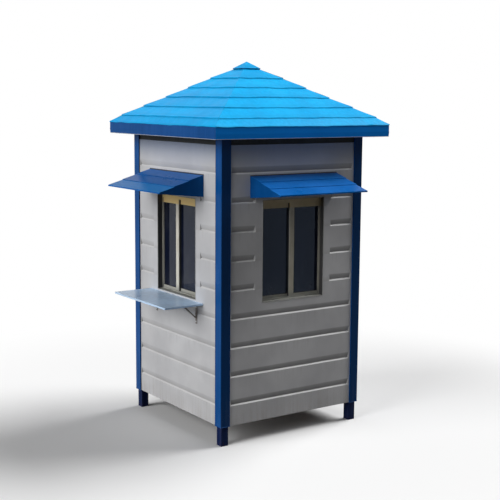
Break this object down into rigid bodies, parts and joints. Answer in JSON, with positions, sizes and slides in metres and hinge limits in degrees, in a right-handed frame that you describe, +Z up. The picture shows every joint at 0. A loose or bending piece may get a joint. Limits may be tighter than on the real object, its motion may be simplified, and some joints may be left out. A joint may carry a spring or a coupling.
{
  "type": "security guard booth",
  "caption": "Square steel guard booth on short feet, with grooved grey walls, sliding windows under blue hoods, a service shelf and a stepped blue pyramid roof.",
  "frame": {"origin": "middle of the outline seen from above, hoods included, at ground level under the feet", "axes": "+Z up, -Y out through the service window, +X out through the right-hand window"},
  "size_m": [2.344, 2.091, 3.271],
  "materials": {
    "roof_paint": "glossy azure coil-coated steel",
    "trim_paint": "glossy deep blue enamel",
    "frame_paint": "dark blue enamel on welded tube",
    "cladding_paint": "satin light grey coil-coated steel",
    "lining_paint": "matt off-white steel skin",
    "soffit_paint": "satin pale grey enamel",
    "window_aluminium": "champagne anodised",
    "clear_glass": "float glass with a dark film inside",
    "shelf_paint": "satin pale blue-grey enamel",
    "door_paint": "satin light grey enamel",
    "deck_plywood": "sealed plywood",
    "ceiling_board": "matt white board",
    "bright_steel": "brushed"
  },
  "bodies": {
    "root": {"back_cladding": "cladding_paint", "back_roof_slope": "roof_paint", "back_wall": "lining_paint", "ceiling_panel": "ceiling_board", "corner_covers": "trim_paint", "corner_posts": "frame_paint", "door_frame": "door_paint", "door_glass": "clear_glass", "door_handle": "bright_steel", "door_hinges": "bright_steel", "door_leaf": "door_paint", "eave_fascia": "trim_paint", "floor_deck": "deck_plywood", "floor_frame": "frame_paint", "floor_joists": "frame_paint", "front_cladding": "cladding_paint", "front_hood": "trim_paint", "front_inner_sash": "window_aluminium", "front_outer_sash": "window_aluminium", "front_roof_slope": "roof_paint", "front_wall": "lining_paint", "front_window_frame": "window_aluminium", "front_window_glass": "clear_glass", "left_cladding": "cladding_paint", "left_hood": "trim_paint", "left_inner_sash": "window_aluminium", "left_outer_sash": "window_aluminium", "left_roof_slope": "roof_paint", "left_wall": "lining_paint", "left_window_frame": "window_aluminium", "left_window_glass": "clear_glass", "right_cladding": "cladding_paint", "right_hood": "trim_paint", "right_inner_sash": "window_aluminium", "right_outer_sash": "window_aluminium", "right_roof_slope": "roof_paint", "right_wall": "lining_paint", "right_window_frame": "window_aluminium", "right_window_glass": "clear_glass", "roof_base_panel": "soffit_paint", "roof_cap": "roof_paint", "shelf_board": "shelf_paint", "shelf_brackets": "shelf_paint", "top_frame": "frame_paint"}
  },
  "joints": []
}
